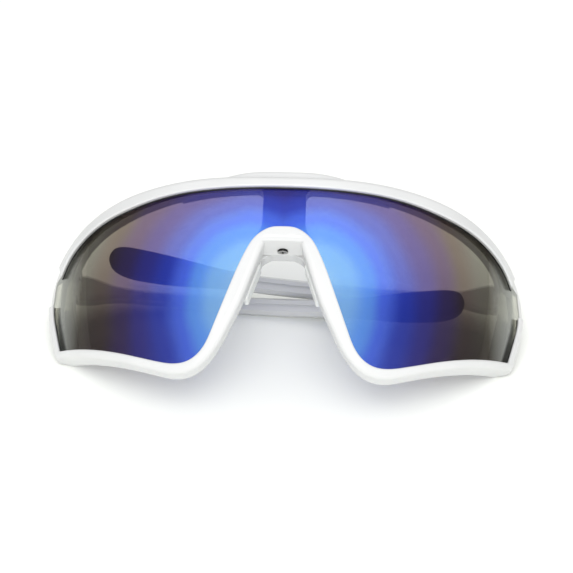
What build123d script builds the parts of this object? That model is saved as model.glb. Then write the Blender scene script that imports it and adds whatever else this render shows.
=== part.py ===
from build123d import *

# Wraparound sport sunglasses: one mirrored shield lens in a full white rim, lying folded on its back.
#
# Everything is drawn in the front frame: X across the face, Y from the lens towards the face, Z up the
# lens, in millimetres, with the origin at the most forward point of the lens. The finished pieces are
# then leaned back together until the two lower rim corners and the lower folded temple touch the table.

import math
import os

# ---- lens ------------------------------------------------------------------------------------------------
LENS_RADIUS = 80.0            # wrap of the lens, seen from above
LENS_RADIUS_UP = 160.0        # gentler curve from brow to cheek, seen from the side
LENS_THICKNESS = 2.0
SEAT_GAP = 0.12               # play of the lens in its groove
EAR_LOW, EAR_HIGH = 4.2, 12.6  # between these heights the lens runs out past the lip as an ear
EAR_HIDDEN = 1.2              # the ear goes this far under the ends of the lip
EAR_INNER = 65.0
EAR_TOP_X, EAR_FOOT_X = 71.3, 72.1  # outer edge of the ear
EAR_TAPER_X, EAR_TAPER_HIGH = 70.2, 16.4  # the upper end of the lip thins out from here

# ---- rim -------------------------------------------------------------------------------------------------
LIP_PROUD = 1.8               # front lip in front of the lens
RIM_BACK = 6.2                # back of the rim, behind the front of the lens
BROW_FRONT, BROW_BACK = 2.6, 7.6  # the brow ridge, behind the front of the lens
MITRE_Y = 47.4                # flat back of the rim's ends, where the temples butt
LENS_END_Y = 47.3
CHEEK_CUT_TOP = 2.5           # below this height the back of the rim's side runs forward
CHEEK_CUT_Y, CHEEK_CUT_FOOT = 41.6, -15.5
ARCH_TOP = 13.2               # ceiling of the nose arch
ARCH_HALF = 4.9
ARCH_BACK = 11.1              # the ceiling slopes down to this height at the back of the rim
EYE_TOP = 31.1                # top of the eye openings
LEG_HALF, LEG_SLOPE = 8.8, 0.355  # half the gap between the legs 2 mm up, and how fast it closes
POST_HALF = 6.2               # post behind the lens, between the two eye openings

# ---- hinges ----------------------------------------------------------------------------------------------
HINGE_X, HINGE_Y, HINGE_Z = 66.5, 49.5, 13.4
HINGE_ROLL = 2.8              # both hinge axes lean the same way, so one folded temple passes over the other
BARREL_RADIUS = 2.0
BARREL_HEIGHT = 3.0           # middle barrel, on the temple
BARREL_GAP = 0.1
HINGE_HALF = 4.3              # half the height of the three barrels together
NECK_SWEEP = 2.95             # the temple keeps this far from the hinge axis beside the rim's barrels
PIN_RADIUS = 0.7
PIN_CLEARANCE = 0.05
PIN_HEAD_RADIUS = 1.35
PIN_HEAD_HEIGHT = 0.8
PIN_END = 0.3                 # the pin's end stands this far out of its nut
RECESS_DEPTH = 0.35           # cross in the screw heads
BARREL_NECK = 5.0             # the necks of the barrels start this far in front of the hinge axis
NUT_RADIUS = 1.6              # corner to centre
NUT_HEIGHT = 1.1
NUT_PLAY = 0.02

# ---- temples ---------------------------------------------------------------------------------------------
TEMPLE_OUTER = 5.1            # outer face of an open temple, outward from its hinge axis
TEMPLE_THICKNESS = 3.6
TEMPLE_BUTT = -2.0            # front end of an open temple, back from its hinge axis
TEMPLE_BOW = 180.0            # radius of a temple seen from above
TEMPLE_FLARE = 14.0           # an open temple leaves its hinge this far outward
ROOT_HEIGHT = 9.6
ARM_HEIGHT = 4.6
ARM_HEIGHT_MID = 5.4
TIP_HEIGHT = 9.4
TIP_START, TIP_END = 81.0, 121.0
TIP_THICKNESS = 4.8
TIP_PLAY = 0.03
CORE_HEIGHT, CORE_THICKNESS, CORE_END = 3.6, 2.2, 112.0
CORE_ROOT = 4.0               # the core begins this far inside the arm
ARM_ROUND, TIP_ROUND = 0.8, 1.2
ARM_BEVEL, ARM_BEVEL_DEPTH = 1.4, 0.9  # inner edges of the arm, the ones that show when it is folded
GROOVE_START, GROOVE_END, GROOVE_HALF, GROOVE_DEPTH = 20.0, 76.0, 0.45, 0.35
BROW_ROUND, BROW_EDGE = 1.2, 31.0

OUTER_ROUND = 1.6             # front outer edge of the rim
BACK_ROUND = 1.2              # back outer edge of the rim
LIP_ROUND = 0.5               # edge of the front lip, around the lens
EDGE_MATCH = 0.02             # an edge this close to a surface runs along it
SURFACE_STEP = 0.1            # fineness of the surface points that find the resting place
CLEAR = 60.0                  # a cut or an outline that ends this far out ends outside the object

# ---- nose piece ------------------------------------------------------------------------------------------
SEAM = 0.05                   # between the nose piece, its pads and the rim
SADDLE_BACK = 12.2            # back of the nose piece, behind the front of the lens
PAD_BACK = 13.4
PAD_THICKNESS = 1.4
PAD_PROUD = 0.3               # pads stand this far into the gap from the legs of the arch
PAD_TOP, PAD_FOOT = 8.6, -1.8
TONGUE_HALF, TONGUE_LOW, TONGUE_HIGH = 3.4, 14.3, 15.7
TONGUE_FRONT, TONGUE_END = 2.6, 9.0
NOSE_SCREW_Y = 4.2
NOSE_HEAD_RADIUS = 1.5
NOSE_HEAD_LOW, NOSE_HEAD_HIGH = 11.2, 12.2


def behind(offset, low=-45.0, high=50.0):
    """Everything behind the front of the lens, moved back by an offset."""
    radius = LENS_RADIUS_UP - offset
    levels = (low, low / 2, 0.0, high / 2, high)
    arc = [(LENS_RADIUS_UP - math.sqrt(radius**2 - z**2), z) for z in levels]
    front = Spline(*arc)
    rest = Polyline(arc[-1], (LENS_RADIUS, high), (LENS_RADIUS, low), arc[0])
    section = Plane.YZ * make_face(Curve() + [front, rest])
    return revolve(section, Axis((0, LENS_RADIUS, 0), (0, 0, 1)), 360)


def prism(face, front=-12.0, back=MITRE_Y):
    """A front-view outline carried straight back."""
    return extrude(Plane.XZ.offset(-front) * face, amount=front - back)


def both_sides(edges):
    """A face bounded by edges and their mirror images across the nose."""
    curve = Curve() + edges
    return make_face(curve + mirror(curve, Plane.YZ))


def near(face, x, z, reach=0.6):
    """Corners of a face near a point and near its mirror image."""
    corners = []
    for corner in face.vertices():
        if math.hypot(abs(corner.X) - x, corner.Y - z) < reach:
            corners.append(corner)
    return corners


def along_shell(part, offset):
    """Edges of a part that run along the front of the lens, moved back by an offset."""
    radius = LENS_RADIUS_UP - offset
    found = []
    for edge in part.edges():
        gaps = []
        for share in (0.1, 0.35, 0.6, 0.9):
            point = edge.position_at(share)
            reach = LENS_RADIUS - LENS_RADIUS_UP + math.sqrt(radius**2 - point.Z**2)
            gaps.append(abs(reach - math.hypot(point.X, point.Y - LENS_RADIUS)))
        if max(gaps) < EDGE_MATCH:
            found.append(edge)
    return found


def rim_outline():
    brow = Spline(
        (0, 33.8), (22, 34.2), (40, 33.1), (54, 29.9), (63, 24.9), (69, 18.3), (72.4, 11), (73.0, 5),
        (71.6, -4), (68.9, -13.4), tangents=[(1, 0), (-0.25, -1)],
    )
    cheek = Spline(
        (68.9, -13.4), (56.4, -16.6), (45.3, -20.0), (35, -23.5), (29, -24.9), (24.3, -24.0),
        (20.0, -20.7), (14.3, -11.2), (11.2, -4.6), (leg_line(2.0), 2.0), (ARCH_HALF, ARCH_TOP),
    )
    ceiling = Line((ARCH_HALF, ARCH_TOP), (0, ARCH_TOP))
    face = both_sides([brow, cheek, ceiling])
    face = fillet(near(face, 68.9, -13.4), 2.4)
    return fillet(near(face, ARCH_HALF, ARCH_TOP), 1.2)


def window_outline():
    """The part of the lens that shows inside the lip."""
    brow = Spline(
        (0, 30.6), (20, 30.6), (34, 29.9), (48, 27.4), (56, 25), (62, 21.6), (66.4, 17.2), (68.9, EAR_HIGH),
        (70.7, 8.6), (71.2, EAR_LOW), (69.8, -3.2), (67.3, -11.7), tangents=[(1, 0), (-0.3, -1)],
    )
    cheek = Spline(
        (67.3, -11.7), (56.5, -14.2), (45.5, -17.5), (35, -20.9), (30.4, -21.9), (26.4, -21.6),
        (23.0, -19.5), (19.2, -12.5), (14.4, 0.5), (10.1, 11.0), (7.5, 14.9), (4.3, 17.1), (0, 17.7),
        tangents=[(-1, -0.2), (-1, 0)],
    )
    face = both_sides([brow, cheek])
    return fillet(near(face, 67.3, -11.7), 1.2)


def ear_outline():
    """Where the lip is cut down flush with the lens, its upper end running out in a slant."""
    outside = LENS_RADIUS
    return make_face(Polyline(
        (68.9, EAR_HIGH), (EAR_TAPER_X, EAR_TAPER_HIGH), (outside, EAR_TAPER_HIGH), (outside, EAR_LOW),
        (EAR_INNER, EAR_LOW), (EAR_INNER, EAR_HIGH), close=True,
    ))


def eye_outline():
    """One eye opening, in the wall behind the lens."""
    post = Line((POST_HALF, 20.8), (POST_HALF, EYE_TOP))
    brow = Spline(
        (POST_HALF, EYE_TOP), (20, 31.0), (35, 29.6), (46, 27.3), (56.5, 23.6), (62.5, 19.0), (65, 13.6),
        (65.1, 7), (63.5, -1), (61, -13.4),
    )
    cheek = Spline(
        (61, -13.4), (50.9, -15.8), (40.1, -19.2), (33, -21.3), (28.6, -21.7), (24.6, -20.5),
        (19.6, -12.3), (15.0, 0.6), (11.4, 9.2), (9.0, 14.2),
    )
    flare = Spline((9.0, 14.2), (7.1, 17.2), (POST_HALF, 20.8), tangents=[(-0.6, 1), (0, 1)])
    face = make_face(Curve() + [post, brow, cheek, flare])
    face = fillet(near(face, POST_HALF, EYE_TOP), 2.2)
    return fillet(near(face, 61, -13.4), 3.0)


def brow_ridge():
    """Raised middle of the brow bar, behind its front band."""
    top = Spline((0, 37.3), (12, 37.0), (20, 35.3), (30, 33.2), tangents=[(1, 0), (1, -0.1)])
    under = Spline((30, 33.2), (31, 30.8), (28, 29.2))
    inside = Line((28, 29.2), (0, 29.2))
    ridge = prism(both_sides([top, under, inside])) & (behind(BROW_FRONT) - behind(BROW_BACK))
    ends = along_shell(ridge, BROW_FRONT) + along_shell(ridge, BROW_BACK)
    return ridge.fillet(BROW_ROUND, [edge for edge in ends if edge.center().Z > BROW_EDGE])


def hinge_place(side):
    """Frame of one hinge: its Z is the hinge axis, and both hinges lean the same way."""
    return Pos(side * HINGE_X, HINGE_Y, HINGE_Z) * Rot(0, HINGE_ROLL, 0)


def rim_barrels(side):
    """Upper and lower barrels of a hinge, each on a neck that runs into the end of the rim."""
    height = HINGE_HALF - BARREL_HEIGHT / 2 - BARREL_GAP
    middle = HINGE_HALF - height / 2
    barrels = Part()
    for level in (-middle, middle):
        neck = Box(2 * BARREL_RADIUS, BARREL_NECK, height, align=(Align.CENTER, Align.MAX, Align.CENTER))
        barrels += Pos(0, 0, level) * (Cylinder(BARREL_RADIUS, height) + neck)
    bore = Cylinder(PIN_RADIUS + PIN_CLEARANCE, 3 * HINGE_HALF)
    return hinge_place(side) * barrels, hinge_place(side) * bore


def side_trim():
    """Side view of the rim: flat where the temples butt, then cut forward towards the cheeks."""
    view = Polyline(
        (-CLEAR, CLEAR), (MITRE_Y, CLEAR), (MITRE_Y, CHEEK_CUT_TOP), (CHEEK_CUT_Y, CHEEK_CUT_FOOT),
        (CHEEK_CUT_Y, -CLEAR), (-CLEAR, -CLEAR), close=True,
    )
    return extrude(Plane.YZ.offset(-2 * CLEAR) * make_face(view), 4 * CLEAR)


def ceiling_wedge():
    """Slope under the top of the nose arch, lower towards the face."""
    root = ARCH_TOP + 1
    view = Polyline(
        (-LIP_PROUD, root), (-LIP_PROUD, ARCH_TOP), (RIM_BACK, ARCH_BACK), (RIM_BACK, root), close=True,
    )
    half = leg_line(ARCH_BACK) + 1
    wedge = extrude(Plane.YZ.offset(-half) * make_face(view), 2 * half)
    return wedge & (behind(-LIP_PROUD) - behind(RIM_BACK))


def frame_front():
    """Rim, nose arch, brow ridge and the hinge barrels, in one moulding."""
    rim = prism(rim_outline()) & (behind(-LIP_PROUD) - behind(RIM_BACK)) & side_trim()
    rim = rim.fillet(OUTER_ROUND, along_shell(rim, -LIP_PROUD))
    rim = rim.fillet(BACK_ROUND, along_shell(rim, RIM_BACK))
    mid_lens = LENS_THICKNESS / 2
    rim -= prism(window_outline()) - behind(mid_lens)
    rim = rim.fillet(LIP_ROUND, along_shell(rim, -LIP_PROUD))
    for outline in (ear_outline(), mirror(ear_outline(), Plane.YZ)):
        rim -= prism(outline) - behind(0)
    rim += brow_ridge() + ceiling_wedge()
    eye = eye_outline()
    rim -= (prism(eye, back=CLEAR) + prism(mirror(eye, Plane.YZ), back=CLEAR)) & behind(mid_lens)
    rim -= lens_blank(SEAT_GAP)
    for side in (-1, 1):
        barrels, bore = rim_barrels(side)
        rim += barrels
        rim -= bore
    rim -= tongue(SEAM)
    return rim - nose_screw(PIN_CLEARANCE)


def lens_outline():
    """Edge of the lens, behind the front lip of the rim except at the two ears."""
    ear_high, ear_low = EAR_HIGH + EAR_HIDDEN, EAR_LOW - EAR_HIDDEN
    brow = Spline(
        (0, 32.0), (20, 32.0), (34.3, 31.3), (48.5, 28.7), (56.7, 26.3), (62.8, 22.8), (67.3, 18.1),
        (69.8, ear_high), tangents=[(1, 0), (0.4, -1)],
    )
    ear = Polyline((69.8, ear_high), (EAR_TOP_X, EAR_HIGH), (EAR_FOOT_X, EAR_LOW), (71.6, ear_low))
    side = Spline((71.6, ear_low), (70.6, -3.5), (68.0, -12.8))
    cheek = Spline(
        (68.0, -12.8), (56.1, -15.5), (45.1, -18.8), (34.7, -22.2), (30.2, -23.2), (25.9, -22.6),
        (21.9, -20.3), (18.0, -12.9), (13.2, 0.0), (8.9, 10.5), (6.5, 14.2), (3.8, 16.1), (0, 16.6),
        tangents=[(-1, -0.2), (-1, 0)],
    )
    return fillet(near(both_sides([brow, ear, side, cheek]), 68.0, -12.8), 1.2)


def lens_blank(play):
    """The lens, or with some play the groove that holds it."""
    wall = behind(-play) - behind(LENS_THICKNESS + play)
    trim = Pos(0, LENS_END_Y - MITRE_Y + play, 0) * side_trim()
    return prism(lens_outline()) & wall & trim


def tongue(play):
    """Tab of the nose piece that the nose screw holds, in a slot over the arch."""
    width = 2 * (TONGUE_HALF + play)
    block = Box(width, TONGUE_END - TONGUE_FRONT + play, TONGUE_HIGH - TONGUE_LOW + 2 * play)
    return Pos(0, (TONGUE_FRONT + TONGUE_END - play) / 2, (TONGUE_LOW + TONGUE_HIGH) / 2) * block


def leg_line(level):
    """Half the gap between the legs of the arch at a height."""
    return LEG_HALF - LEG_SLOPE * (level - 2.0)


def nose_piece():
    """Saddle behind the arch, with the tab that the nose screw holds."""
    pad_side = PAD_THICKNESS - PAD_PROUD + SEAM
    foot = PAD_FOOT + 2.0
    pad_seam = PAD_TOP + SEAM
    outside = Polyline(
        (0, 17.2), (6.8, 17.0), (leg_line(10) + 3.6, 10), (leg_line(foot) + 3.6, foot),
        (leg_line(foot) + pad_side, foot), (leg_line(PAD_TOP) + pad_side, pad_seam), (6.4, pad_seam),
    )
    arch = Spline((6.4, pad_seam), (5.6, 10.1), (3.8, 11.1), (0, 11.4), tangents=[(-0.1, 1), (-1, 0)])
    saddle = prism(both_sides([outside, arch])) & (behind(RIM_BACK + SEAM) - behind(SADDLE_BACK))
    return saddle + tongue(0) - nose_screw(PIN_CLEARANCE / 2)


def nose_pad(side):
    """Soft pad along the inside of one leg of the nose piece."""
    corners = []
    for level, across in ((PAD_TOP, -PAD_PROUD), (PAD_FOOT, -PAD_PROUD)):
        corners.append((side * (leg_line(level) + across), level))
    for level in (PAD_FOOT, PAD_TOP):
        corners.append((side * (leg_line(level) + PAD_THICKNESS - PAD_PROUD), level))
    outline = fillet(make_face(Polyline(*corners, close=True)).vertices(), PAD_THICKNESS * 0.4)
    return prism(outline) & (behind(RIM_BACK + SEAM) - behind(PAD_BACK))


def cross_recess(radius, depth):
    """Cross for a screwdriver, cut down from the top of a screw head."""
    slot = Box(1.3 * radius, 0.32 * radius, 2 * depth)
    return slot + Rot(0, 0, 90) * slot


def nose_screw(play=0.0):
    """Screw up through the ceiling of the arch into the tab, with its head below."""
    head = Cylinder(NOSE_HEAD_RADIUS + play, NOSE_HEAD_HIGH - NOSE_HEAD_LOW + play)
    screw = Pos(0, 0, (NOSE_HEAD_LOW + NOSE_HEAD_HIGH) / 2) * head
    reach = TONGUE_HIGH + play - NOSE_HEAD_HIGH
    shaft = Cylinder(PIN_RADIUS + play, reach, align=(Align.CENTER, Align.CENTER, Align.MIN))
    screw += Pos(0, 0, NOSE_HEAD_HIGH) * shaft
    if play == 0:
        screw -= Pos(0, 0, NOSE_HEAD_LOW) * cross_recess(NOSE_HEAD_RADIUS, RECESS_DEPTH)
    return Pos(0, NOSE_SCREW_Y, 0) * screw


def hinge_screw():
    """Pin of one hinge, with its head above the barrels."""
    head = Cylinder(PIN_HEAD_RADIUS, PIN_HEAD_HEIGHT, align=(Align.CENTER, Align.CENTER, Align.MIN))
    shaft = Cylinder(
        PIN_RADIUS, 2 * HINGE_HALF + NUT_HEIGHT + PIN_END, align=(Align.CENTER, Align.CENTER, Align.MAX)
    )
    screw = Pos(0, 0, HINGE_HALF) * (head + shaft)
    return screw - Pos(0, 0, HINGE_HALF + PIN_HEAD_HEIGHT) * cross_recess(PIN_HEAD_RADIUS, RECESS_DEPTH)


def hinge_nut():
    """Six-sided nut under the barrels."""
    blank = extrude(RegularPolygon(NUT_RADIUS, 6) - Circle(PIN_RADIUS + NUT_PLAY), NUT_HEIGHT)
    return Pos(0, 0, -HINGE_HALF - NUT_HEIGHT) * blank


def bow_centre():
    """Centre of the bow of an open temple, seen from above."""
    middle = TEMPLE_OUTER - TEMPLE_THICKNESS / 2
    flare = math.radians(TEMPLE_FLARE)
    return middle - TEMPLE_BOW * math.cos(flare), TEMPLE_BUTT + TEMPLE_BOW * math.sin(flare)


def bowed_band(thickness, side_view):
    """Part of an open temple: a strip bowed about the head, cut to a side view."""
    centre = bow_centre()
    ring = Circle(TEMPLE_BOW + thickness / 2) - Circle(TEMPLE_BOW - thickness / 2)
    near_side = Pos(TEMPLE_BOW, 0) * Rectangle(TEMPLE_BOW, 2 * TEMPLE_BOW)
    strip = Pos(centre[0], centre[1], -CLEAR / 2) * extrude(ring & near_side, CLEAR)
    cutter = extrude(Plane.YZ.offset(-CLEAR) * side_view, 2 * CLEAR)
    return strip & cutter


def arm_view():
    """Side view of a temple's arm: deep at the hinge, slim beyond it."""
    half = ARM_HEIGHT / 2
    half_mid = ARM_HEIGHT_MID / 2
    edge = [(TEMPLE_BUTT, ROOT_HEIGHT / 2), (5, 4.4), (10, 3.1), (16, half), (34, half), (58, half_mid)]
    upper = Spline(*edge, (TIP_START, half_mid), tangents=[(1, 0), (1, 0)])
    lower = mirror(upper, Plane.XZ)
    end = Line((TIP_START, half_mid), (TIP_START, -half_mid))
    butt = Line((TEMPLE_BUTT, ROOT_HEIGHT / 2), (TEMPLE_BUTT, -ROOT_HEIGHT / 2))
    return make_face(Curve() + [upper, lower, end, butt])


def arm_edges(arm, side):
    """Long edges of an open temple's arm, along its outer face (1) or its inner face (-1)."""
    centre = bow_centre()
    found = []
    for edge in arm.edges():
        point = edge.position_at(0.5)
        reach = math.hypot(point.X - centre[0], point.Y - centre[1]) - TEMPLE_BOW
        if edge.length > TIP_START / 2 and abs(reach - side * TEMPLE_THICKNESS / 2) < EDGE_MATCH:
            found.append(edge)
    return found


def core_view(start, end, half):
    """Side view of a straight strip along a temple."""
    return make_face(Polyline((start, half), (end, half), (end, -half), (start, -half), close=True))


def temple():
    """One open temple of the wearer's left side, about its hinge axis."""
    arm = bowed_band(TEMPLE_THICKNESS, arm_view())
    arm = arm.chamfer(ARM_BEVEL, ARM_BEVEL_DEPTH, arm_edges(arm, -1))
    arm = arm.fillet(ARM_ROUND, arm_edges(arm, 1))
    groove = core_view(GROOVE_START, GROOVE_END, GROOVE_HALF)
    arm -= bowed_band(2 * TEMPLE_THICKNESS, groove) - bowed_band(TEMPLE_THICKNESS - 2 * GROOVE_DEPTH, groove)
    arm += bowed_band(CORE_THICKNESS, core_view(TIP_START - CORE_ROOT, CORE_END, CORE_HEIGHT / 2))
    barrel_zone = HINGE_HALF * 2
    for direction in (-1, 1):
        clear = Cylinder(NECK_SWEEP, barrel_zone)
        arm -= Pos(0, 0, direction * (BARREL_HEIGHT / 2 + barrel_zone / 2)) * clear
    reach = TEMPLE_OUTER - 1
    depth = BARREL_RADIUS - TEMPLE_BUTT
    neck = Box(reach, depth, BARREL_HEIGHT, align=(Align.MIN, Align.CENTER, Align.CENTER))
    arm += Cylinder(BARREL_RADIUS, BARREL_HEIGHT) + neck
    return arm - Cylinder(PIN_RADIUS + PIN_CLEARANCE, 3 * HINGE_HALF)


def temple_tip():
    """Soft paddle-shaped tip slipped over the core of a temple."""
    half = ARM_HEIGHT_MID / 2
    broad = TIP_HEIGHT / 2
    start = TIP_START + TIP_PLAY
    end = TIP_END
    upper = Spline(
        (start, half), (end - 27, 0.76 * broad), (end - 16, 0.96 * broad), (end - 7, broad),
        tangents=[(1, 0), (1, 0)],
    )
    nose = Spline(
        (end - 7, broad), (end, 0.35 * broad), (end - 9, -broad), tangents=[(1, 0), (-1, 0)]
    )
    lower = Spline(
        (end - 9, -broad), (end - 17, -0.94 * broad), (end - 27, -0.74 * broad), (start, -half),
        tangents=[(-1, 0), (-1, 0)],
    )
    front = Line((start, -half), (start, half))
    sleeve = bowed_band(TIP_THICKNESS, make_face(Curve() + [upper, nose, lower, front]))
    sleeve = sleeve.fillet(TIP_ROUND, [edge for edge in sleeve.edges() if edge.center().Y > start + 1])
    pocket = core_view(start - 1, CORE_END + TIP_PLAY, CORE_HEIGHT / 2 + TIP_PLAY)
    return sleeve - bowed_band(CORE_THICKNESS + 2 * TIP_PLAY, pocket)


def on_hinge(piece, side, folds):
    """Put a piece drawn about the left hinge axis on either hinge, folded or not."""
    if side < 0:
        piece = mirror(piece, Plane.YZ)
    if folds:
        piece = Rot(0, 0, side * 90) * piece
    return hinge_place(side) * piece


def glasses():
    """Every piece in the front frame, by node name."""
    pieces = {
        "frame_front": frame_front(),
        "lens": lens_blank(0),
        "nose_bridge": nose_piece(),
        "nose_screw": nose_screw(),
    }
    for name, side in (("left", 1), ("right", -1)):
        pieces["nose_pad_" + name] = nose_pad(side)
        pieces["temple_" + name] = on_hinge(temple(), side, True)
        pieces["temple_tip_" + name] = on_hinge(temple_tip(), side, True)
        pieces["hinge_screw_" + name] = on_hinge(hinge_screw(), side, False)
        pieces["hinge_nut_" + name] = on_hinge(hinge_nut(), side, False)
    return pieces


def leaned(points, lean):
    """Depth and height of surface points when the front frame is leaned back by an angle."""
    cosine, sine = math.cos(math.radians(lean)), math.sin(math.radians(lean))
    return [(p.Y * cosine + p.Z * sine, p.Z * cosine - p.Y * sine) for p in points]


def table_place(pieces):
    """Placement that rests the rim corners and the lower temple on the table, centred over the origin."""
    surface = {name: piece.tessellate(SURFACE_STEP)[0] for name, piece in pieces.items()}
    low, high = 20.0, 75.0
    while high - low > 0.01:
        middle = (low + high) / 2
        rim_height = min(height for _, height in leaned(surface["frame_front"], middle))
        arm_height = min(height for _, height in leaned(surface["temple_right"], middle))
        if arm_height > rim_height:
            low = middle
        else:
            high = middle
    everything = leaned([point for points in surface.values() for point in points], middle)
    depths = [depth for depth, _ in everything]
    floor = min(height for _, height in everything)
    print("lean", middle)
    return Pos(0, -(min(depths) + max(depths)) / 2, -floor) * Rot(-middle, 0, 0)


if __name__ == "__main__":
    os.makedirs("parts", exist_ok=True)
    parts = glasses()
    place = table_place(parts)
    for name, piece in parts.items():
        export_step(place * piece, f"parts/{name}.step")
    print("placement", place)
    for name, side in (("left", 1), ("right", -1)):
        hinge = place * hinge_place(side)
        axis = Plane(hinge).z_dir * side * -1
        print("hinge", name, tuple(hinge.position), "opens about", tuple(axis))
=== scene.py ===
import math

import bpy
from mathutils import Matrix, Vector


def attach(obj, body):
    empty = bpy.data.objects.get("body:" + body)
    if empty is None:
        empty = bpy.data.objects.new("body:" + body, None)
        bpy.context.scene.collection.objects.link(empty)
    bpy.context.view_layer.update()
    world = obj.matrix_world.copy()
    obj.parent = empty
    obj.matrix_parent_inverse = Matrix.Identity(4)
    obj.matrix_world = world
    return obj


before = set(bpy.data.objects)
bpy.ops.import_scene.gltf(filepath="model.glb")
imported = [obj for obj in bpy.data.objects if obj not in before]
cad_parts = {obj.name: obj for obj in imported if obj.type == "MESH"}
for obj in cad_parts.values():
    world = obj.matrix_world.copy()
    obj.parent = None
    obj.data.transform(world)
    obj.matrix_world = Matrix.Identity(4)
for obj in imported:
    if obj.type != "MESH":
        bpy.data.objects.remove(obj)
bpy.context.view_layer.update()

# The front frame of the glasses: X across the face, Y from the lens to the face, Z up the lens.
MM = 0.001
LEAN = math.radians(52.73)  # how far the glasses lie back on the table
LENS_FRONT = Vector((0.0, -0.01716, 0.04216))  # the lens's most forward point, where the front frame starts
LENS_RADIUS = 0.080  # across the face
LENS_RADIUS_UP = 0.160

# Outline of the lip around the lens, in front view and millimetres, from the middle of the brow to the ear
# and below the ear. The dark beads of painted shade follow it.
BROW_LINE = [
    (0, 30.6), (10, 30.65), (20, 30.6), (34, 29.9), (48, 27.4),
    (56, 25), (62, 21.6), (66.4, 17.2), (68.9, 12.6),
]
SIDE_LINE = [(71.2, 4.2), (70.9, 0.5), (69.8, -3.2), (68.6, -7.5), (67.5, -11.0)]
SHADE_BEAD_THICK = 0.42 * MM  # radius of the brow bead at the middle of the face
SHADE_BEAD_THIN = 0.26 * MM  # radius of every bead at its ends
SHADE_BEAD_PROUD = 0.05 * MM  # how far a bead's centre line stands out from the lens

# The colours of the lens run outward from a pale spot at each side of the nose; metres of the front frame.
GLOW_SIDE = 0.011  # place of the spot, across and up
GLOW_UP = 0.002
GLOW_SMALLEST = 0.001  # the distance counted at the spot itself
GLOW_REACH = 0.060  # where the run of colours ends
STRETCH_ABOVE = 1.05  # how much of a height counts as distance, above and below the spot
STRETCH_BELOW = 0.5
GLOW_DRIFT = 0.0015  # how far the colours wander
MIRROR_NEAR, MIRROR_FAR = 0.62, 0.42  # strength of the mirror near the spot and far from it
FADE_START, FADE_END = 0.24, 0.42  # the shares of the way out between which it weakens
EARS_START, EARS_END = 0.061, 0.069  # the mirror turns silvery between these distances from the middle
SHADE_END, SHADE_START = -0.006, 0.004  # the tint darkens downwards between these heights, painted shade for the shadowed table seen through the lower lens
SHADE = 0.58  # share of the light left below them
EDGE_CLEAR, EDGE_COATED = 0.1, 0.2  # how squarely the edge wall and the coated faces look forward

NOSE_HEAD_LOW = 0.01125  # the cross of the nose screw is cut up from just under this height
RECESS_SHADE_EDGE = 0.0001  # height over which the painted shade in the cross of the screw sets in

FLOOR_SIZE = 6.0
BRIGHT_SIDE = Vector((0.0, -0.5, 0.87)).normalized()  # the surroundings are brightest above the front
DIMMEST, BRIGHTEST = 0.22, 1.12  # their strength below the back and above the front
LIGHT_PLACE = (0.0, -0.46, 0.47)
LIGHT_SIZE = 0.4
LIGHT_POWER = 2.35

CAMERA_BELOW = math.radians(17.0)  # from the line straight out of the lens
CAMERA_ASIDE = math.radians(2.0)
CAMERA_ROLL = math.radians(0.05)
CAMERA_DISTANCE = 0.5


def row_point(x, y, z):
    """A point of the front frame, in metres of the row frame."""
    return Matrix.Rotation(-LEAN, 3, "X") @ Vector((x, y, z)) + LENS_FRONT


def lens_depth(x, z):
    """How far the front of the lens lies behind its most forward point."""
    reach = LENS_RADIUS - LENS_RADIUS_UP + math.sqrt(LENS_RADIUS_UP**2 - z**2)
    return LENS_RADIUS - math.sqrt(reach**2 - x**2)


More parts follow.
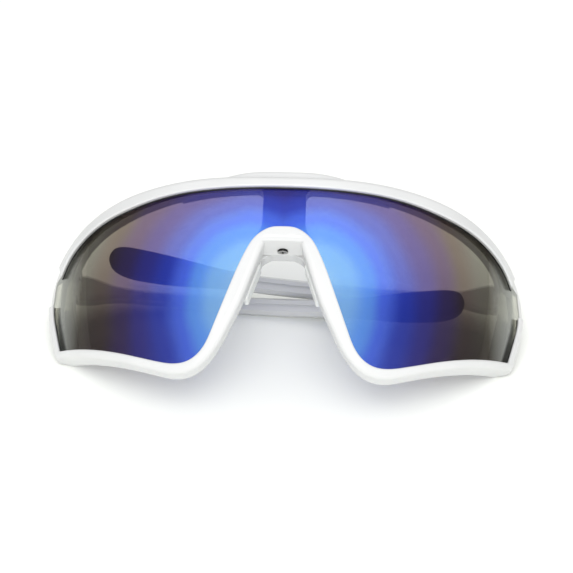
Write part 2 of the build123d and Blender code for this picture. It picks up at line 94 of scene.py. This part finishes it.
# ---- material helpers --------------------------------------------------------------------------------------
class Paint:
    """A material being built: its nodes and its links."""

    def __init__(self, name):
        self.material = bpy.data.materials.new(name)
        self.material.use_nodes = True
        self.tree = self.material.node_tree
        self.shader = self.tree.nodes["Principled BSDF"]
        self.place = self.add("ShaderNodeTexCoord").outputs["Object"]

    def add(self, kind, **settings):
        node = self.tree.nodes.new(kind)
        for key, value in settings.items():
            setattr(node, key, value)
        return node

    def link(self, source, target):
        self.tree.links.new(source, target)

    def set(self, **values):
        """Plain values of the shader, by the names of its sockets."""
        for key, value in values.items():
            self.shader.inputs[key.replace("_", " ")].default_value = value

    def front_place(self):
        """Sockets X, Y and Z with a point's place in the front frame, in metres."""
        mapping = self.add("ShaderNodeMapping", vector_type="TEXTURE")
        mapping.inputs["Location"].default_value = LENS_FRONT
        mapping.inputs["Rotation"].default_value = (-LEAN, 0, 0)
        self.link(self.place, mapping.inputs["Vector"])
        split = self.add("ShaderNodeSeparateXYZ")
        self.link(mapping.outputs["Vector"], split.inputs["Vector"])
        return split.outputs

    def noise(self, scale, detail, roughness=0.5):
        """A noise over the object, finer with a larger scale."""
        noise = self.add("ShaderNodeTexNoise")
        noise.inputs["Scale"].default_value = scale
        noise.inputs["Detail"].default_value = detail
        noise.inputs["Roughness"].default_value = roughness
        self.link(self.place, noise.inputs["Vector"])
        return noise.outputs["Fac"]

    def maths(self, operation, first, second=None):
        """One sum on numbers or sockets."""
        node = self.add("ShaderNodeMath", operation=operation)
        for socket, value in zip(node.inputs, (first, second)):
            if value is None:
                continue
            if isinstance(value, (int, float)):
                socket.default_value = value
            else:
                self.link(value, socket)
        return node.outputs[0]

    def span(self, value, low, high, new_low=0.0, new_high=1.0):
        """A value carried from one range to another and held at its ends."""
        node = self.add("ShaderNodeMapRange")
        for socket, number in zip(node.inputs[1:5], (low, high, new_low, new_high)):
            socket.default_value = number
        self.link(value, node.inputs["Value"])
        return node.outputs["Result"]

    def mottle(self, scale, detail, low=0.0, high=1.0):
        """A noise stretched over a range: most of the raw noise lies between 0.3 and 0.7."""
        return self.span(self.noise(scale, detail), 0.3, 0.7, low, high)

    def ramp(self, value, stops):
        """Colours along a value from 0 to 1."""
        node = self.add("ShaderNodeValToRGB")
        node.color_ramp.interpolation = "EASE"
        marks = node.color_ramp.elements
        while len(marks) < len(stops):
            marks.new(0.5)
        for mark, (position, colour) in zip(marks, stops):
            mark.position = position
            mark.color = (*colour, 1)
        self.link(value, node.inputs["Fac"])
        return node.outputs["Color"]

    def blend(self, share, first, second):
        """Two colours mixed by a share."""
        node = self.add("ShaderNodeMix", data_type="RGBA")
        # A mix node has sockets for numbers and vectors too. These are the ones that colours use.
        factor, colour_a, colour_b = (node.inputs[index] for index in (0, 6, 7))
        self.link(share, factor)
        for socket, value in ((colour_a, first), (colour_b, second)):
            if isinstance(value, tuple):
                socket.default_value = (*value, 1)
            else:
                self.link(value, socket)
        return node.outputs[2]

    def bump(self, height, strength, distance):
        node = self.add("ShaderNodeBump")
        node.inputs["Strength"].default_value = strength
        node.inputs["Distance"].default_value = distance
        self.link(height, node.inputs["Height"])
        self.link(node.outputs["Normal"], self.shader.inputs["Normal"])

    def colour(self, source):
        self.link(source, self.shader.inputs["Base Color"])

    def roughness(self, source):
        self.link(source, self.shader.inputs["Roughness"])


# ---- materials ---------------------------------------------------------------------------------------------
def white_plastic():
    """Glossy moulded white: faint clouding, handling marks in the gloss and a very slight ripple."""
    paint = Paint("white_plastic")
    paint.colour(paint.blend(paint.noise(80, 3), (0.59, 0.595, 0.595), (0.65, 0.655, 0.655)))
    paint.roughness(paint.span(paint.noise(420, 4, 0.6), 0.0, 1.0, 0.28, 0.44))
    paint.bump(paint.noise(900, 2), 0.02, 0.00004)
    paint.set(IOR=1.49, Subsurface_Weight=0.08, Subsurface_Scale=0.002)
    paint.set(Subsurface_Radius=(1.0, 0.95, 0.9), Coat_Weight=0.25, Coat_Roughness=0.12)
    return paint.material


def glow_share(paint, across, up):
    """How far a point of the lens is from the pale spot at its side of the nose, up to 1 near the ear."""
    off_side = paint.maths("ABSOLUTE", paint.maths("SUBTRACT", across, GLOW_SIDE))
    off_side = paint.maths("ADD", off_side, GLOW_SMALLEST)
    height = paint.maths("SUBTRACT", up, GLOW_UP)
    above = paint.maths("MULTIPLY", height, STRETCH_ABOVE)
    below = paint.maths("MULTIPLY", height, -STRETCH_BELOW)
    off_up = paint.maths("MAXIMUM", above, below)
    squares = paint.maths("ADD", paint.maths("POWER", off_side, 2.0), paint.maths("POWER", off_up, 2.0))
    drift = paint.mottle(30, 2, -GLOW_DRIFT, GLOW_DRIFT)
    return paint.span(paint.maths("ADD", paint.maths("SQRT", squares), drift), 0.0, GLOW_REACH)


def lens_coat(paint, share, across):
    """Colour of the mirror: sky blue at the spots, then violet, dark bronze, and silvery at the ears."""
    coat = paint.ramp(share, [
        (0.00, (0.360, 0.620, 1.000)),
        (0.15, (0.270, 0.550, 1.000)),
        (0.25, (0.150, 0.370, 1.000)),
        (0.33, (0.100, 0.190, 0.980)),
        (0.42, (0.045, 0.080, 0.660)),
        (0.52, (0.055, 0.060, 0.410)),
        (0.62, (0.064, 0.050, 0.180)),
        (0.74, (0.066, 0.050, 0.062)),
        (0.90, (0.072, 0.060, 0.050)),
    ])
    return paint.blend(paint.span(across, EARS_START, EARS_END), coat, (0.62, 0.64, 0.62))


def lens_tint(paint, share, up, coated):
    """Colour of the light that comes through: darker low down as painted shade for the shadowed table behind
    the lower lens, and clear at the edge wall.
    """
    tint = paint.ramp(share, [
        (0.00, (0.75, 0.96, 0.92)),
        (0.25, (0.75, 0.93, 1.00)),
        (0.33, (0.74, 0.87, 1.00)),
        (0.42, (0.72, 0.73, 0.90)),
        (0.52, (0.73, 0.64, 0.74)),
        (0.62, (0.75, 0.64, 0.69)),
        (0.72, (0.78, 0.71, 0.63)),
        (0.85, (0.81, 0.80, 0.73)),
    ])
    # painted shade: below SHADE_END less light comes through, standing in for the shadowed table under the
    # lens
    tint = paint.blend(paint.span(up, SHADE_END, SHADE_START, SHADE, 1.0), (0, 0, 0), tint)
    return paint.blend(coated, (1, 1, 1), tint)


def lens_coated(paint):
    """1 on the front and back of the lens, 0 on the edge wall all round it."""
    facing = paint.add("ShaderNodeVectorMath", operation="DOT_PRODUCT")
    facing.inputs[1].default_value = (0, math.cos(LEAN), -math.sin(LEAN))
    paint.link(paint.add("ShaderNodeNewGeometry").outputs["Normal"], facing.inputs[0])
    return paint.span(paint.maths("ABSOLUTE", facing.outputs["Value"]), EDGE_CLEAR, EDGE_COATED)


def mirror_lens():
    """Tinted lens with a coloured mirror coat and faint smudges. The edge wall all round is left clear."""
    paint = Paint("mirror_lens")
    place = paint.front_place()
    across = paint.maths("ABSOLUTE", place["X"])
    up = place["Z"]
    share = glow_share(paint, across, up)
    coated = lens_coated(paint)
    paint.colour(lens_coat(paint, share, across))
    paint.roughness(paint.span(paint.noise(160, 5, 0.6), 0.45, 0.75, 0.03, 0.10))
    paint.set(Metallic=1.0)
    clear = paint.add("ShaderNodeBsdfTransparent")
    paint.link(lens_tint(paint, share, up, coated), clear.inputs["Color"])
    strength = paint.span(share, FADE_START, FADE_END, MIRROR_NEAR, MIRROR_FAR)
    mix = paint.add("ShaderNodeMixShader")
    paint.link(paint.maths("MULTIPLY", strength, coated), mix.inputs["Fac"])
    paint.link(clear.outputs[0], mix.inputs[1])
    paint.link(paint.shader.outputs[0], mix.inputs[2])
    paint.link(mix.outputs[0], paint.tree.nodes["Material Output"].inputs["Surface"])
    return paint.material


def milky_rubber():
    """Soft whitish nose pads, slightly see-through, with a matt grain."""
    paint = Paint("milky_rubber")
    paint.colour(paint.blend(paint.mottle(260, 3), (0.70, 0.72, 0.71), (0.80, 0.81, 0.80)))
    paint.roughness(paint.mottle(1800, 3, 0.38, 0.55))
    paint.bump(paint.noise(3200, 2), 0.12, 0.0001)
    paint.set(Subsurface_Weight=0.35, Subsurface_Scale=0.002, Subsurface_Radius=(1.0, 0.95, 0.9))
    return paint.material


def black_rubber():
    """Matt black tips with a fine grain and paler rubbed patches."""
    paint = Paint("black_rubber")
    rubbed = paint.span(paint.noise(140, 5, 0.65), 0.45, 0.75)
    paint.colour(paint.blend(rubbed, (0.012, 0.012, 0.013), (0.030, 0.029, 0.029)))
    paint.roughness(paint.mottle(900, 3, 0.45, 0.65))
    paint.bump(paint.noise(2600, 3), 0.25, 0.0001)
    return paint.material


def steel(name, recess=None):
    """Turned steel with fine wear and darker spots. Above the height of a recess it is painted near black, a
    painted shade for the cross cut in the screw head.
    """
    paint = Paint(name)
    worn = paint.span(paint.noise(2200, 4, 0.6), 0.35, 0.7)
    metal = paint.blend(worn, (0.30, 0.30, 0.29), (0.52, 0.51, 0.49))
    if recess is not None:
        up = paint.front_place()["Z"]
        # painted shade: above the recess height the steel turns near black, for the shaded cross of the screw
        # head
        metal = paint.blend(paint.span(up, recess, recess + RECESS_SHADE_EDGE), metal, (0.02, 0.02, 0.02))
    paint.colour(metal)
    paint.roughness(paint.mottle(3000, 3, 0.30, 0.48))
    paint.bump(paint.noise(4200, 2), 0.10, 0.00005)
    paint.set(Metallic=1.0)
    return paint.material


def shade_bead_paint():
    """Thin dark bead between the lens and the lip, painted shade for the shadowed gap there, with a slight
    sheen and dust.
    """
    paint = Paint("shade_bead_paint")
    dust = paint.span(paint.noise(900, 4, 0.6), 0.5, 0.8)
    paint.colour(paint.blend(dust, (0.006, 0.006, 0.008), (0.025, 0.024, 0.026)))
    paint.roughness(paint.mottle(1500, 3, 0.5, 0.7))
    paint.bump(paint.noise(3000, 2), 0.1, 0.00005)
    return paint.material


def pale_floor():
    """Plain white table top with a faint unevenness."""
    paint = Paint("pale_floor")
    paint.colour(paint.blend(paint.mottle(12, 3), (0.96, 0.975, 0.94), (0.975, 0.985, 0.955)))
    paint.set(Roughness=0.85, Specular_IOR_Level=0.1)
    return paint.material


# ---- pieces ------------------------------------------------------------------------------------------------
def shade_bead(name, outline, middle, material):
    """A dark bead of painted shade on the lens along the lip, from its radius at the middle of the face to
    the thin radius.
    """
    curve = bpy.data.curves.new(name, "CURVE")
    curve.dimensions = "3D"
    curve.bevel_depth = 1.0
    curve.bevel_resolution = 3
    curve.use_fill_caps = True
    spline = curve.splines.new("BEZIER")
    spline.bezier_points.add(len(outline) - 1)
    widest = max(abs(x) for x, z in outline)
    for point, (x, z) in zip(spline.bezier_points, outline):
        point.co = row_point(x * MM, lens_depth(x * MM, z * MM) - SHADE_BEAD_PROUD, z * MM)
        point.handle_left_type = point.handle_right_type = "AUTO"
        point.radius = middle + (SHADE_BEAD_THIN - middle) * (x / widest) ** 2
    spline.resolution_u = 16
    obj = bpy.data.objects.new(name, curve)
    bpy.context.collection.objects.link(obj)
    obj.data.materials.append(material)
    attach(obj, "front")


def camera():
    """Looks at the front of the lens from a little below its own level and a little to one side."""
    forward = Vector((
        -math.sin(CAMERA_ASIDE) * math.cos(CAMERA_BELOW),
        math.cos(CAMERA_ASIDE) * math.cos(CAMERA_BELOW),
        math.sin(CAMERA_BELOW),
    ))
    spot = row_point(*(-CAMERA_DISTANCE * forward))
    data = bpy.data.cameras.new("camera")
    data.lens = 110.9
    data.shift_x = 0.0094
    data.shift_y = -0.0012
    data.clip_start = 0.01
    obj = bpy.data.objects.new("camera", data)
    bpy.context.collection.objects.link(obj)
    turn = (LENS_FRONT - spot).normalized().to_track_quat("-Z", "Y").to_matrix()
    roll = Matrix.Rotation(CAMERA_ROLL, 3, "Z")
    obj.matrix_world = Matrix.Translation(spot) @ (turn @ roll).to_4x4()
    bpy.context.scene.camera = obj


def front_light():
    """A square soft light over the front, facing the glasses."""
    data = bpy.data.lights.new("front_light", "AREA")
    data.energy = LIGHT_POWER
    data.size = LIGHT_SIZE
    obj = bpy.data.objects.new("front_light", data)
    obj.location = LIGHT_PLACE
    obj.rotation_euler = (LENS_FRONT - Vector(LIGHT_PLACE)).to_track_quat("-Z", "Y").to_euler()
    bpy.context.collection.objects.link(obj)


def table():
    """The white table that the glasses lie on."""
    bpy.ops.mesh.primitive_plane_add(size=FLOOR_SIZE)
    floor = bpy.context.object
    floor.name = "floor"
    floor.data.materials.append(pale_floor())


def surroundings():
    """Plain white surroundings, brightest above the front and dimmest below the back."""
    world = bpy.data.worlds.new("world")
    bpy.context.scene.world = world
    world.use_nodes = True
    tree = world.node_tree
    sky = tree.nodes["Background"]
    sky.inputs["Color"].default_value = (1, 1, 1, 1)
    place = tree.nodes.new("ShaderNodeTexCoord")
    towards = tree.nodes.new("ShaderNodeVectorMath")
    towards.operation = "DOT_PRODUCT"
    towards.inputs[1].default_value = BRIGHT_SIDE
    tree.links.new(place.outputs["Generated"], towards.inputs[0])
    glow = tree.nodes.new("ShaderNodeMapRange")
    for socket, number in zip(glow.inputs[1:5], (-1.0, 1.0, DIMMEST, BRIGHTEST)):
        socket.default_value = number
    tree.links.new(towards.outputs["Value"], glow.inputs["Value"])
    tree.links.new(glow.outputs["Result"], sky.inputs["Strength"])


# ---- the glasses -------------------------------------------------------------------------------------------
white = white_plastic()
finish = {
    "frame_front": white,
    "nose_bridge": white,
    "temple": white,
    "lens": mirror_lens(),
    "nose_pad": milky_rubber(),
    "temple_tip": black_rubber(),
    "nose_screw": steel("nose_screw_steel", NOSE_HEAD_LOW),
    "hinge": steel("steel"),
}
for name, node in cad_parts.items():
    # The longest key that fits, so that a temple tip isn't taken for a temple.
    kind = max((key for key in finish if name.startswith(key)), key=len)
    node.data.materials.clear()
    node.data.materials.append(finish[kind])

# dark beads of painted shade in the gap between the lens and the lip
dark = shade_bead_paint()
brow = [(-x, z) for x, z in reversed(BROW_LINE[1:])] + BROW_LINE
shade_bead("shade_bead_brow", brow, SHADE_BEAD_THICK, dark)
for side, word in ((1, "left"), (-1, "right")):
    shade_bead("shade_bead_side_" + word, [(side * x, z) for x, z in SIDE_LINE], SHADE_BEAD_THIN, dark)

table()
surroundings()
front_light()
camera()
bpy.context.scene.view_settings.view_transform = "Standard"
